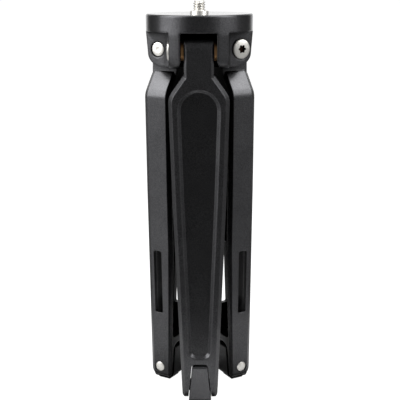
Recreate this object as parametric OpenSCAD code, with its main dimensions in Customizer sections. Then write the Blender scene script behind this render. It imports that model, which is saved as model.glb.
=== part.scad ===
// Folding mini tripod: a round hub with a camera stud, three milled channel legs and swivel feet.
// The hub's axis is Z, the soles stand on Z = 0 and the front leg is on the -Y side.
// Each leg is drawn in its own frame: +X points away from the hub's axis, Y runs along its hinge.

/* [Hub] */
// Diameter of the disc that the camera or ball head sits on
disc_d = 55.4; // [54:0.1:60]
// Thickness of the disc above the clevises
disc_t = 8.7; // [7:0.1:12]
// Bevel round the disc's top edge
disc_bevel = 0.6; // [0.3:0.1:1.5]
// Distance from the hub's axis to the inner wall of each clevis slot
core_r = 8.7; // [8.2:0.1:9.2]
// Thickness of each clevis ear
ear_t = 5.9; // [5.5:0.05:6.3]
// How far the ears reach below the hinge axis
ear_drop = 8.9; // [8:0.1:9.6]
// Radius of the rounded lower end of the ears
ear_round = 7; // [5:0.1:8]
// How much narrower the ears are at the start of that rounding
ear_draft = 0.9; // [0.4:0.1:1.5]
// Radius in the corner where neighbouring ears meet
notch_fillet = 3; // [2:0.1:4]

/* [Camera stud] */
// Diameter of the thread that stands above the disc, 1/4 inch
stud_d = 6.35; // [6.35:0.001:6.35]
// Diameter of the thread inside the hub, 3/8 inch
stud_low_d = 9.525; // [9.525:0.001:9.525]
// Height of the stud above the disc
stud_h = 6.5; // [5:0.1:8]
// Height of the wide part that shows above the disc
stud_collar_h = 1.3; // [0.8:0.1:2]
// Length of the stud inside the hub
stud_depth = 16; // [10:0.5:20]
// Width across flats of the key socket in the stud's lower end
stud_key = 5; // [4:0.5:6]
// Depth of that key socket
stud_key_depth = 4; // [2:0.5:5]
// Diameter of the grub screw that locks the stud
lock_d = 4; // [3:0.5:5]
// Length of the grub screw
lock_len = 8; // [6:0.5:9]
// Width across flats of the grub screw's key socket
lock_key = 2; // [1.5:0.1:2.2]
// Depth of that key socket
lock_key_depth = 2.5; // [1.5:0.1:3]

/* [Hinges] */
// Distance from the hub's axis to each leg's hinge axis
pivot_r = 16.1; // [15.9:0.1:16.3]
// Radius of the rounded tongue round its hinge axis
tongue_r = 9; // [8.5:0.1:9.4]
// Width of the tongue along the hinge axis
tongue_w = 15; // [14.4:0.1:15.6]
// Bevel on the tongue's outer edges
tongue_bevel = 1.2; // [0.5:0.1:1.6]
// Angle that a leg opens to from the folded position, in degrees
open_angle = 75; // [60:1:80]
// Angle that the legs stand open as drawn, in degrees
rest_angle = 0.7; // [0.1:0.1:1]
// Thickness of the bronze friction washers
washer_t = 1.65; // [1:0.05:2]
// Diameter of the bronze friction washers
washer_d = 10.2; // [9:0.1:11]
// Diameter of the barrel that the tongue turns on
barrel_d = 6; // [5:0.1:6.6]
// Diameter of the round nut's head at the end of the barrel
nut_head_d = 7.2; // [6.8:0.1:7.8]
// Thickness of the round nut's head
nut_head_t = 2.4; // [1.5:0.1:3]
// Diameter of the pivot screw's thread
screw_d = 4; // [3:0.1:4.5]
// Diameter of the pivot screw's head
screw_head_d = 10; // [9:0.1:10.6]
// Height of the pivot screw's head above the ear
screw_head_h = 1.2; // [0.8:0.1:1.6]
// Depth of the seat that the head is let into
screw_seat = 1; // [0.6:0.1:1.5]
// Distance over the lobes of the head's star recess
star_d = 4.4; // [3.6:0.1:5]
// Depth of the star recess
star_depth = 1.5; // [1:0.1:2]

/* [Legs] */
// Length of a leg from its hinge axis to its foot's rivet
leg_len = 179; // [150:1:230]
// Half the leg's width below the shoulders
shoulder_hw = 15.5; // [14.5:0.1:15.8]
// Half the leg's width at the knee, where its taper gets steeper
knee_hw = 13.9; // [13:0.1:14.4]
// Half the leg's width at the foot's rivet
end_hw = 9.6; // [9.4:0.1:10.4]
// Distance from the leg's outer face to its inner rim
leg_depth = 15.3; // [13.5:0.1:15.5]
// How much shallower the leg is at its lower end
depth_taper = 2.8; // [1.5:0.1:3.5]
// Thickness of the leg's side walls
wall = 2.8; // [2.2:0.1:3.2]
// Thickness of the web behind the outer recess
web = 2.1; // [1.5:0.1:2.6]
// Bevel along the edges, measured across the leg's face
bevel_w = 1.8; // [1:0.1:1.9]
// Bevel along the outer edges, measured along the leg's side
bevel_out = 2.4; // [1:0.1:3]
// Bevel along the inner edges, measured along the leg's side
bevel_in = 1.6; // [1:0.1:2.2]
// Depth of the long recess in the outer face
recess_depth = 1.6; // [0.8:0.1:2.2]
// Width of the recess's sloping wall
recess_slope = 2.6; // [1.4:0.1:2.8]
// Face left beside the recess, from the recess to the leg's side
recess_border = 4.5; // [4:0.1:5]
// Width of the window in each side wall
window_w = 4.8; // [3.5:0.1:5]
// Length of the window in each side wall
window_len = 36.2; // [20:0.1:44]
// Distance from the foot's rivet up to the window
window_rise = 33.2; // [28:0.1:40]

/* [Feet] */
// Height of the foot's rivet above the ground
rivet_h = 9; // [8.6:0.1:10]
// Distance from the leg's outer face to the rivet
rivet_in = 6; // [5.6:0.1:6.4]
// Diameter of the rivet's shank
rivet_d = 4; // [3:0.1:4.4]
// Diameter of the rivet's heads
rivet_head_d = 5.7; // [4.8:0.1:6.4]
// Thickness of the rivet's heads
rivet_head_t = 0.8; // [0.6:0.1:1]
// Width of the fork that the foot swings in
fork_w = 12.8; // [12.4:0.1:13.2]
// Height of the fork's arch above the rivet
fork_rise = 14; // [13.8:0.1:14.6]
// Radius of the corners of the fork's arch
fork_round = 4.5; // [3:0.1:4.8]
// Thickness of the outer band beside the notch
band_t = 2.6; // [2:0.1:3]
// Half the width of the notch at its top
notch_hw = 4.45; // [4.2:0.05:4.8]
// Half the width of the notch at the rivet's height
notch_low_hw = 5.75; // [5.6:0.05:5.9]
// Gap round the foot in the notch
notch_gap = 0.45; // [0.35:0.05:0.6]
// Radius of the foot's rounded top round the rivet
foot_r = 12.8; // [12.2:0.1:13]
// Distance from the rivet to the foot's inner face
foot_in = 7; // [6.5:0.1:7.6]
// Radius of the foot's lower inner corner
heel_round = 4; // [3:0.1:5]
// Thickness of the rubber sole that shows below the foot
pad_t = 1.5; // [1:0.1:2]
// Thickness of the thin washers beside the foot
foot_washer_t = 0.92; // [0.6:0.01:0.95]
// Diameter of the thin washers beside the foot
foot_washer_d = 6.4; // [5.6:0.1:6.6]

/* [Hidden] */
$fn = 64;

// Directions of the legs, seen from above
front_angle = -90;
right_angle = 30;
left_angle = 150;
leg_angles = [front_angle, right_angle, left_angle];
notch_turn = 60;
hull_fn = 32;
arc_steps = 16;

// Clearances: running fit of a pin, play beside a washer, gap at a stop, overrun of a cut
fit = 0.05;
play = 0.05;
stop_gap = 0.2;
over = 1;

// Heights
pivot_z = rivet_h + leg_len * cos(rest_angle) - (tongue_r - rivet_in) * sin(rest_angle);
roof_z = pivot_z + tongue_r + stop_gap;
disc_top_z = roof_z + disc_t;
ear_low_z = pivot_z - ear_drop;

// Hub: slots, ears and the V notches between neighbouring ears
disc_r = disc_d / 2;
slot_hw = tongue_w / 2 + washer_t + play;
ear_hw = slot_hw + ear_t;
notch_apex = ear_hw / cos(notch_turn / 2);
slot_round = 1;
mouth_h = 3.5;
mouth_flare = 1.4;
stud_bore_r = stud_low_d / 2 + fit;
lock_z = pivot_z;
lock_start = stud_low_d / 2 + play;

// Screw and nut on the hinge axis: the head is on the clockwise side seen from above
seat_play = 0.2;
nut_ring = 0.4;
barrel_end = ear_hw - screw_seat - play;
screw_end = tongue_w / 2;
screw_tip = 0.6;
lobe_share = 0.2;
dome = 0.35;

// Leg, measured from the hub's axis
face_r = pivot_r + tongue_r;
rim_r = face_r - leg_depth;
edge_in_r = rim_r + bevel_in;
end_edge_in_r = edge_in_r + depth_taper - bevel_in / 2;
end_rim_r = end_edge_in_r - bevel_in / 2;
rivet_r = face_r - rivet_in;
rivet_z = pivot_z - leg_len;
heel_r = core_r + stop_gap;

// Places along the leg: drops from the hinge axis, rises from the rivet, shares of the length
shoulder_drop = 13.6;
shoulder_top_hw = 8.6;
shoulder_round = 2;
side_drop = 25.6;
side_round = 9;
knee_share = 0.575;
taper_share = 0.4;
end_drop = 6.35;
end_round = 3.4;
toe_round = 5.4;
cheek_round = 3;
shoulder_z = pivot_z - shoulder_drop;
side_z = pivot_z - side_drop;
knee_z = rivet_z + leg_len * knee_share;
taper_z = rivet_z + leg_len * taper_share;
end_z = rivet_z - end_drop;

// Inner pocket, outer recess and the bridge that closes them above the fork
pocket_r = face_r - recess_depth - web;
pocket_drop = 38;
bridge_rise = 17.9;
pocket_round = 2.2;
recess_drop = 29.7;
recess_rise = 22.7;
recess_foot_round = 1.6;
recess_foot_rise = 22;
window_r = pocket_r - window_w / 2 - 0.2 * wall;
window_round = 1;

// Foot
notch_top_share = 0.99;
notch_rise = fork_rise * notch_top_share;
notch_round = 2;
notch_slope = (notch_low_hw - notch_hw) / notch_rise;
rivet_x = pivot_r + (rivet_r - pivot_r) * cos(rest_angle) + leg_len * sin(rest_angle);
foot_face = rivet_in - stop_gap;
foot_top_rise = foot_r;
foot_edge_round = 1.5;
boss_hw = fork_w / 2 - foot_washer_t - 2 * play;
washer_gap = 0.3;
pad_sink = 0.6;
pad_inset = 0.6;
pad_chamfer = 0.4;
toe_inset = 1.4;
spot_depth = rivet_head_t * 0.7;
spot_play = 0.15;

// Half the width of a leg at a height: one taper above the knee and a steeper one below it
function half_w(z) = z > knee_z
    ? knee_hw + (shoulder_hw - knee_hw) * (z - knee_z) / (side_z - knee_z)
    : end_hw + (knee_hw - end_hw) * (z - rivet_z) / (knee_z - rivet_z);

// Points on an arc about (x, y), from angle a to angle b
function arc(x, y, r, a, b) =
    [for (i = [0:arc_steps]) let (t = a + (b - a) * i / arc_steps) [x + r * cos(t), y + r * sin(t)]];

// A cylinder along X between two distances from the hub's axis
module x_rod(x0, x1, y, z, r) {
    translate([x0, y, z]) rotate([0, 90, 0]) cylinder(h = x1 - x0, r = r);
}

// A cylinder along Y at the hinge or rivet axis
module y_rod(x, z, y0, y1, r) {
    translate([x, y0, z]) rotate([-90, 0, 0]) cylinder(h = y1 - y0, r = r);
}

// A side profile drawn in X and Z, made solid across the leg
module side_plate(half) {
    translate([0, half, 0]) rotate([90, 0, 0]) linear_extrude(2 * half) children();
}

// A front profile drawn in Y and Z, made solid from x0 to x1
module front_plate(x0, x1) {
    translate([x0, 0, 0]) rotate([90, 0, 90]) linear_extrude(x1 - x0) children();
}

// The clevis slot for one leg, with rounded roof corners and a flared mouth
module clevis_slot() {
    reach = disc_r + over;
    low = ear_low_z - over;
    front_plate(core_r, reach) {
        translate([-slot_hw, low]) square([2 * slot_hw, roof_z - slot_round - low]);
        translate([-slot_hw + slot_round, low]) square([2 * (slot_hw - slot_round), roof_z - low]);
        for (s = [-1, 1])
            translate([s * (slot_hw - slot_round), roof_z - slot_round]) circle(slot_round);
        polygon([
            [-slot_hw - mouth_flare, low], [-slot_hw - mouth_flare, ear_low_z],
            [-slot_hw, ear_low_z + mouth_h], [slot_hw, ear_low_z + mouth_h],
            [slot_hw + mouth_flare, ear_low_z], [slot_hw + mouth_flare, low]
        ]);
    }
}

// The V-shaped notch between the ears of neighbouring legs, rounded where they meet
module ear_notch() {
    far = disc_r + over;
    low = ear_low_z - over;
    spread = (far - notch_apex) * tan(notch_turn);
    turn = 90 + notch_turn;
    translate([0, 0, low]) linear_extrude(roof_z - low) polygon(concat(
        arc(notch_apex + notch_fillet / sin(notch_turn), 0, notch_fillet, turn, 360 - turn),
        [[far, -spread], [far, spread]]
    ));
}

// The turned outline of the hub, before its slots and notches are milled
module hub_blank() {
    low_r = disc_r - ear_draft;
    round_z = ear_low_z + ear_round;
    rotate_extrude($fn = 128) polygon(concat(
        [[0, ear_low_z]],
        arc(low_r - ear_round, round_z, ear_round, -90, 0),
        [
            [disc_r, roof_z], [disc_r, disc_top_z - disc_bevel],
            [disc_r - disc_bevel, disc_top_z], [0, disc_top_z]
        ]
    ));
}

// Hub: the disc, three clevises, the stud's bore and the lock screw's hole
module hub() {
    color("#2c2c2f") difference() {
        hub_blank();
        for (a = leg_angles) rotate(a) {
            clevis_slot();
            rotate(notch_turn) ear_notch();
            y_rod(pivot_r, pivot_z, -ear_hw - over, ear_hw + over, barrel_d / 2 + fit);
            y_rod(pivot_r, pivot_z, -ear_hw - over, -ear_hw + screw_seat,
                screw_head_d / 2 + seat_play);
            y_rod(pivot_r, pivot_z, ear_hw - nut_head_t - play, ear_hw + over,
                nut_head_d / 2 + nut_ring);
        }
        translate([0, 0, ear_low_z - over])
            cylinder(h = disc_top_z - ear_low_z + 2 * over, r = stud_bore_r);
        rotate(-front_angle) x_rod(0, disc_r, 0, lock_z, lock_d / 2 + fit);
    }
}

// Reversible camera stud: the thin thread up, the wide one inside the hub
module stud() {
    tip = stud_d / 10;
    color("#d8d8d6") difference() {
        union() {
            translate([0, 0, disc_top_z - stud_depth])
                cylinder(h = stud_depth + stud_collar_h, r = stud_low_d / 2);
            translate([0, 0, disc_top_z]) cylinder(h = stud_h - tip, r = stud_d / 2);
            translate([0, 0, disc_top_z + stud_h - tip])
                cylinder(h = tip, r1 = stud_d / 2, r2 = stud_d / 2 - tip);
        }
        translate([0, 0, disc_top_z - stud_depth - over])
            cylinder(h = stud_key_depth + over, d = stud_key / cos(30), $fn = 6);
    }
}

// Grub screw that presses on the stud, reached from the notch opposite the front leg
module stud_lock_screw() {
    color("#4a4a4c") rotate(-front_angle) difference() {
        x_rod(lock_start, lock_start + lock_len, 0, lock_z, lock_d / 2);
        translate([lock_start + lock_len - lock_key_depth, 0, lock_z]) rotate([0, 90, 0])
            cylinder(h = lock_key_depth + over, d = lock_key / cos(30), $fn = 6);
    }
}

// One rounded corner of the leg's body: a full rod between the bevels, a thinner one to both faces
module body_corner(z, hw, r, edge_r, rim) {
    for (s = [-1, 1]) {
        x_rod(edge_r, face_r - bevel_out, s * (hw - r), z, r, $fn = hull_fn);
        x_rod(rim, face_r, s * (hw - r), z, r - bevel_w, $fn = hull_fn);
    }
}

// The leg's body as one convex block with bevelled edges, from the shoulders to the lower end
module leg_body() {
    hull() {
        body_corner(shoulder_z, shoulder_top_hw, shoulder_round, edge_in_r, rim_r);
        body_corner(side_z, half_w(side_z), side_round, edge_in_r, rim_r);
        body_corner(knee_z, half_w(knee_z), side_round, edge_in_r, rim_r);
        body_corner(taper_z, half_w(taper_z), side_round, edge_in_r, rim_r);
        body_corner(end_z + end_round, half_w(end_z + end_round), end_round,
            end_edge_in_r, end_rim_r);
    }
}

// Side profile of the tongue: round on top, with flats that stop on the hub's core
module tongue_profile() {
    stop = pivot_r - heel_r;
    stop_a = 180 - open_angle;
    low = shoulder_z - side_round;
    polygon(concat(
        [[face_r, low]],
        arc(pivot_r, pivot_z, tongue_r, 0, stop_a - acos(stop / tongue_r)),
        arc(pivot_r, pivot_z, stop, stop_a, 180),
        [[heel_r, ear_low_z], [rim_r, shoulder_z], [rim_r, low]]
    ));
}

// The tongue between the clevis ears, with bevelled outer edges
module leg_tongue() {
    half = tongue_w / 2;
    low = shoulder_z - side_round;
    intersection() {
        side_plate(half) tongue_profile();
        translate([0, 0, low]) linear_extrude(roof_z - low) polygon([
            [0, -half], [face_r - tongue_bevel, -half], [face_r, -half + tongue_bevel],
            [face_r, half - tongue_bevel], [face_r - tongue_bevel, half], [0, half]
        ]);
    }
}

// The pocket milled from the inner side, which leaves the walls and the web
module leg_pocket() {
    top = pivot_z - pocket_drop;
    low = rivet_z + bridge_rise + pocket_round;
    hull() {
        x_rod(0, pocket_r, 0, top, half_w(top) - wall, $fn = arc_steps * 4);
        for (s = [-1, 1]) {
            x_rod(0, pocket_r, s * (half_w(knee_z) - wall - pocket_round), knee_z, pocket_round);
            x_rod(0, pocket_r, s * (half_w(low) - wall - pocket_round), low, pocket_round);
        }
    }
}

// The long recess in the outer face, with sloping walls and a round top
module leg_recess() {
    floor_r = face_r - recess_depth;
    top = pivot_z - recess_drop;
    low = rivet_z + recess_rise;
    foot = rivet_z + recess_foot_rise;
    hull() {
        for (z = [top, knee_z, low]) {
            hw = half_w(z) - recess_border;
            x_rod(face_r, face_r + over, 0, z, hw);
            if (z > low) x_rod(floor_r, face_r, 0, z, hw - recess_slope);
        }
        for (s = [-1, 1])
            x_rod(floor_r, face_r, s * (half_w(foot) - recess_border - recess_slope
                - recess_foot_round), foot, recess_foot_round, $fn = hull_fn);
    }
}

// The window through both side walls
module leg_window() {
    low = rivet_z + window_rise;
    reach = shoulder_hw + over;
    side_plate(reach) {
        translate([window_r - window_w / 2, low + window_round])
            square([window_w, window_len - 2 * window_round]);
        translate([window_r - window_w / 2 + window_round, low])
            square([window_w - 2 * window_round, window_len]);
        for (x = [-1, 1], z = [window_round, window_len - window_round])
            translate([window_r + x * (window_w / 2 - window_round), low + z])
                circle(window_round);
    }
}

// The fork for the foot: a parallel slot with an arched top, and a tapered notch in the outer band
module leg_fork() {
    half = fork_w / 2;
    top = rivet_z + fork_rise;
    low = end_z - over;
    front_plate(0, face_r - band_t) {
        translate([-half, low]) square([fork_w, top - fork_round - low]);
        translate([-half + fork_round, low]) square([fork_w - 2 * fork_round, top - low]);
        for (s = [-1, 1]) translate([s * (half - fork_round), top - fork_round]) circle(fork_round);
    }
    front_plate(face_r - band_t - over, face_r + over) notch_profile(0, rivet_z, low);
}

// Front profile of the notch about a rivet at height mid, or of the foot when drawn in by a gap
module notch_profile(gap, mid, low) {
    round_z = mid + notch_rise - gap - notch_round;
    round_y = notch_hw - gap - notch_round;
    low_hw = notch_low_hw - gap + notch_slope * (mid - low);
    polygon(concat(
        [[low_hw, low]],
        arc(round_y, round_z, notch_round, 0, 90),
        arc(-round_y, round_z, notch_round, 90, 180),
        [[-low_hw, low]]
    ));
}

// What is cut away outside a rounded lower corner: a square less a quarter circle
module corner_cut(x, z, r, turn) {
    side_plate(shoulder_hw + over)
        translate([x, z]) rotate(turn) difference() {
            square(r + over);
            circle(r);
        }
}

// Turns what belongs to a leg about its hinge axis, from fully folded to the angle it stands at
module lean() {
    translate([pivot_r, 0, pivot_z]) rotate([0, -rest_angle, 0])
        translate([-pivot_r, 0, -pivot_z]) children();
}

// One milled leg
module leg() {
    color("#2c2c2f") lean() difference() {
        union() {
            leg_body();
            leg_tongue();
        }
        leg_pocket();
        leg_recess();
        leg_window();
        leg_fork();
        corner_cut(face_r - toe_round, end_z + toe_round, toe_round, -90);
        corner_cut(end_rim_r + cheek_round, end_z + cheek_round, cheek_round, 180);
        y_rod(pivot_r, pivot_z, -tongue_w, tongue_w, barrel_d / 2 + fit);
        y_rod(rivet_r, rivet_z, -shoulder_hw, shoulder_hw, rivet_d / 2 + fit);
        for (s = [0, 1]) mirror([0, s, 0])
            y_rod(rivet_r, rivet_z, end_hw - spot_depth, shoulder_hw,
                rivet_head_d / 2 + spot_play);
    }
}

// Six-lobed recess of a star screw
module star() {
    lobe = star_d * lobe_share / 2;
    circle(star_d / 2 - lobe * 1.4);
    for (a = [0:60:300]) rotate(a) translate([star_d / 2 - lobe, 0]) circle(lobe);
}

// Pivot screw: a low domed head with a star recess, and a shank inside the barrel
module pivot_screw() {
    outer = ear_hw + screw_head_h;
    seat = ear_hw - screw_seat;
    color("#d8d8d6") translate([pivot_r, 0, pivot_z]) rotate([90, 0, 0]) difference() {
        union() {
            translate([0, 0, -screw_end]) cylinder(h = seat + screw_end, r = screw_d / 2);
            rotate_extrude() polygon([
                [0, seat], [screw_head_d / 2, seat], [screw_head_d / 2, outer - dome],
                [screw_head_d / 2 - dome, outer], [0, outer]
            ]);
        }
        translate([0, 0, outer - star_depth]) linear_extrude(star_depth + over) star();
    }
}

// Round nut: a barrel through the clevis that the tongue turns on, and its round head
module pivot_nut() {
    color("#d8d8d6") difference() {
        union() {
            y_rod(pivot_r, pivot_z, -barrel_end, ear_hw - nut_head_t, barrel_d / 2);
            y_rod(pivot_r, pivot_z, ear_hw - nut_head_t, ear_hw, nut_head_d / 2);
        }
        y_rod(pivot_r, pivot_z, -barrel_end - over, screw_end + screw_tip, screw_d / 2 + fit);
    }
}

// A ring along the hinge or rivet axis
module ring(x, z, y0, y1, outer_r, inner_r) {
    difference() {
        y_rod(x, z, y0, y1, outer_r);
        y_rod(x, z, y0 - over, y1 + over, inner_r);
    }
}

// Two bronze washers that rub on the tongue
module friction_washers() {
    color("#b98346") for (s = [0, 1]) mirror([0, s, 0])
        ring(pivot_r, pivot_z, slot_hw - washer_t, slot_hw, washer_d / 2, barrel_d / 2 + fit);
}

// Side profile of the foot: round over the rivet, flat on top towards the face, a round heel
module foot_side_profile() {
    low = pad_t - rivet_h;
    polygon(concat(
        arc(foot_face - foot_edge_round, foot_top_rise - foot_edge_round, foot_edge_round, 0, 90),
        arc(0, 0, foot_r, 90, 180 - asin(sqrt(foot_r * foot_r - foot_in * foot_in) / foot_r)),
        arc(heel_round - foot_in, low + heel_round, heel_round, 180, 270),
        arc(foot_face - toe_inset, low + toe_inset, toe_inset, -90, 0)
    ));
}

// Swivel foot: tapered like the notch, with round seats for the washers and one for its sole
module foot() {
    color("#333336") difference() {
        union() {
            intersection() {
                translate([rivet_x, 0, rivet_h]) side_plate(fork_w / 2) foot_side_profile();
                front_plate(0, rivet_x + rivet_in) notch_profile(notch_gap, rivet_h, pad_t);
            }
            y_rod(rivet_x, rivet_h, -boss_hw, boss_hw, foot_washer_d / 2);
        }
        for (s = [0, 1]) mirror([0, s, 0])
            y_rod(rivet_x, rivet_h, boss_hw, fork_w, foot_washer_d / 2 + washer_gap);
        y_rod(rivet_x, rivet_h, -fork_w, fork_w, rivet_d / 2 + fit);
        pad_block(pad_t, pad_t + pad_sink + play, fit);
    }
}

// A block as wide as the sole between two heights, grown by a gap all round
module pad_block(z0, z1, gap) {
    x0 = rivet_x - foot_in + heel_round - toe_inset / 2;
    x1 = rivet_x + foot_face - toe_inset - pad_inset;
    half = notch_low_hw - notch_gap - pad_inset;
    translate([x0 - gap, -half - gap, z0]) cube([x1 - x0 + 2 * gap, 2 * (half + gap), z1 - z0]);
}

// Rubber sole: let into the foot and bevelled where it meets the ground
module foot_pad() {
    color("#1d1d1e") hull() {
        pad_block(pad_chamfer, pad_t + pad_sink, 0);
        pad_block(0, pad_chamfer, -pad_chamfer);
    }
}

// Rivet that the foot swings on, with a flat head let into each cheek
module foot_rivet() {
    seat = end_hw - spot_depth;
    color("#d8d8d6") lean() {
        y_rod(rivet_r, rivet_z, -seat, seat, rivet_d / 2);
        for (s = [0, 1]) mirror([0, s, 0])
            y_rod(rivet_r, rivet_z, seat, seat + rivet_head_t, rivet_head_d / 2);
    }
}

// Two thin washers between the foot and the cheeks
module foot_washers() {
    color("#9a9a98") lean() for (s = [0, 1]) mirror([0, s, 0])
        ring(rivet_r, rivet_z, fork_w / 2 - foot_washer_t, fork_w / 2, foot_washer_d / 2,
            rivet_d / 2 + fit);
}

hub();
stud();
stud_lock_screw();
rotate(front_angle) leg();  // leg_front
rotate(right_angle) leg();  // leg_right
rotate(left_angle) leg();  // leg_left
rotate(front_angle) pivot_screw();  // pivot_screw_front
rotate(right_angle) pivot_screw();  // pivot_screw_right
rotate(left_angle) pivot_screw();  // pivot_screw_left
rotate(front_angle) pivot_nut();  // pivot_nut_front
rotate(right_angle) pivot_nut();  // pivot_nut_right
rotate(left_angle) pivot_nut();  // pivot_nut_left
rotate(front_angle) friction_washers();  // friction_washers_front
rotate(right_angle) friction_washers();  // friction_washers_right
rotate(left_angle) friction_washers();  // friction_washers_left
rotate(front_angle) foot();  // foot_front
rotate(right_angle) foot();  // foot_right
rotate(left_angle) foot();  // foot_left
rotate(front_angle) foot_pad();  // foot_pad_front
rotate(right_angle) foot_pad();  // foot_pad_right
rotate(left_angle) foot_pad();  // foot_pad_left
rotate(front_angle) foot_rivet();  // foot_rivet_front
rotate(right_angle) foot_rivet();  // foot_rivet_right
rotate(left_angle) foot_rivet();  // foot_rivet_left
rotate(front_angle) foot_washers();  // foot_washers_front
rotate(right_angle) foot_washers();  // foot_washers_right
rotate(left_angle) foot_washers();  // foot_washers_left
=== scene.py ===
"""Looks of a folding mini tripod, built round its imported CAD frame. Lengths are in metres.

The hub's axis is Z, the soles stand on Z = 0 and the front leg is on the -Y side, where the camera stands.
"""

import math

import bmesh
import bpy
import numpy as np
from mathutils import Matrix, Vector


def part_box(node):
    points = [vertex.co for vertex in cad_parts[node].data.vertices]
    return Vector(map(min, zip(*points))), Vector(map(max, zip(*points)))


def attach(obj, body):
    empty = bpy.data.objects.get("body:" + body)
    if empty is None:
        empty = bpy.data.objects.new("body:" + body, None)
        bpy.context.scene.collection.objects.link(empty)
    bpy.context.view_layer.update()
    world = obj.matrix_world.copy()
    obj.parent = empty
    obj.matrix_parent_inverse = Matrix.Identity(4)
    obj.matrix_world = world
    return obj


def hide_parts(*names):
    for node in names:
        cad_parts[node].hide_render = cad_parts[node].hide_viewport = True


bl_info = {
    "name": "Mini tripod",
    "version": (1, 0, 0),
    "blender": (4, 5, 0),
    "location": "3D View > Sidebar > Mini tripod",
    "description": "Builds the finished surfaces, materials and stage of a folding mini tripod",
    "category": "Add Mesh",
}

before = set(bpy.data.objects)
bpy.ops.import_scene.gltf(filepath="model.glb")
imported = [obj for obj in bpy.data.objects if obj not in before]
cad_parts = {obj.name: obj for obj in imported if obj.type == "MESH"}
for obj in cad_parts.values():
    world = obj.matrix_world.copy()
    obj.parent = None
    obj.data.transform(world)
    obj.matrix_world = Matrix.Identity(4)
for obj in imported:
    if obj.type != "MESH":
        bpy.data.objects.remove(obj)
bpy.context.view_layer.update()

MM = 0.001
INCH = 25.4 * MM
TURN = 2 * math.pi

# Each leg's direction seen from above, in degrees
LEG_ANGLES = {"front": -90.0, "right": 30.0, "left": 150.0}

# Height of the hub's disc, whose rim was turned
DISC_HEIGHT = 10 * MM

# A leg that hangs straight down, in millimetres: heights where its sides bend, and half its width there
LEG_HEIGHTS = (8.95, 111.9, 162.35)
LEG_HALF_WIDTHS = (9.6, 13.9, 15.5)

# How far a leg's outer face lies from its hinge, and how far the leg leans out at rest, in degrees
FACE_REACH = 9 * MM
REST_LEAN = 0.7

# The recess in a leg's outer face, in millimetres: its border beside the leg's edges, the height of its
# flat bottom and the radius of its lower corners. Each is given at the outline, with its gain at the floor.
RECESS_BORDER = (4.3, 1.8)
RECESS_LOW = (25.4, 2.6)
RECESS_BEND = (4.8, -3.0)

# Height of the middle of the recess's round top, and the recess's depth, in millimetres
RECESS_TOP = 158.25
RECESS_DEPTH = 1.65

# The recess's slope, from above the face: share of the way from the outline to the floor, and depth
RECESS_SLOPE = ((0.0, -1.0), (0.0, 0.0), (0.14, 0.09), (0.86, 1.5), (1.0, RECESS_DEPTH))

# Radius of the screws' and rivets' shanks and of the nuts' barrels, and the gap round them in a bore
SHANK = 2 * MM
BARREL = 3 * MM
BORE_GAP = 0.05 * MM

# Edges that turn by fewer degrees are smoothed: on turned pieces, on milled or cast metal and on rubber
TURNED_CREASE = 32.0
METAL_CREASE = 15.0
RUBBER_CREASE = 20.0


# Places, read from the CAD


def span(node, axis):
    """Lowest and highest coordinate of a CAD node along one axis."""
    low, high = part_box(node)
    return low[axis], high[axis]


def middle(node, axis):
    """Middle of a CAD node along one axis."""
    return sum(span(node, axis)) / 2


def half_size(node, axis):
    """Half the size of a CAD node along one axis, which is a round piece's radius."""
    low, high = span(node, axis)
    return (high - low) / 2


def pin_frame(pin, side):
    """Matrix whose Z runs along a leg's hinge or rivet, with its origin on the leg's middle plane.

    X points out and Y up. The front leg's pin runs along the world's X, so its box gives the pin's distance
    from the hub's axis and its height. The other legs' pins are the same one turned about the hub's axis.
    """
    origin = Vector((0.0, middle(pin + "_front", 1), middle(pin + "_front", 2)))
    along, out, up = Vector((1, 0, 0)), Vector((0, -1, 0)), Vector((0, 0, 1))
    place = Matrix((out, up, along)).transposed().to_4x4()
    place.translation = origin
    return Matrix.Rotation(math.radians(LEG_ANGLES[side] - LEG_ANGLES["front"]), 4, "Z") @ place


def leg_frame(side):
    """A leg's hinge frame, turned so that it leans as the leg does and Y runs straight up the leg."""
    return pin_frame("pivot_screw", side) @ Matrix.Rotation(math.radians(REST_LEAN), 4, "Z")


# Meshes


def linked(name, data):
    """New object in the scene that holds a mesh, a lamp or a camera."""
    obj = bpy.data.objects.new(name, data)
    bpy.context.scene.collection.objects.link(obj)
    return obj


def placed(points, place):
    """Grid of points carried by a matrix: place @ (x, y, z, 1)."""
    whole = np.concatenate([points, np.ones_like(points[..., :1])], axis=-1)
    return (whole @ np.array(place).T)[..., :3]


def skin(name, points):
    """Mesh object over a grid of points: rows follow the profile, columns go once round.

    Every four neighbours make a quad, the last column joins the first, and doubled points at the poles
    are merged. Its UV map holds the share of the turn and the distance along the profile in millimetres.
    """
    rows, cols, _ = points.shape
    index = np.arange(rows * cols).reshape(rows, cols)
    right = np.roll(index, -1, axis=1)
    quads = np.stack([index[:-1], right[:-1], right[1:], index[1:]], axis=-1).reshape(-1, 4)
    mesh = bpy.data.meshes.new(name)
    mesh.from_pydata(points.reshape(-1, 3).tolist(), [], quads.tolist())
    steps = np.linalg.norm(np.diff(points, axis=0), axis=2).mean(axis=1)
    run = np.concatenate([[0.0], np.cumsum(steps)]) / MM
    share = np.arange(cols + 1) / cols
    row, col = np.meshgrid(np.arange(rows - 1), np.arange(cols), indexing="ij")
    across = np.stack([share[col], share[col + 1], share[col + 1], share[col]], axis=-1)
    along = np.stack([run[row], run[row], run[row + 1], run[row + 1]], axis=-1)
    layer = mesh.uv_layers.new(name="profile")
    layer.data.foreach_set("uv", np.stack([across, along], axis=-1).reshape(-1).astype(np.float32))
    return finish_mesh(mesh, name)


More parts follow.
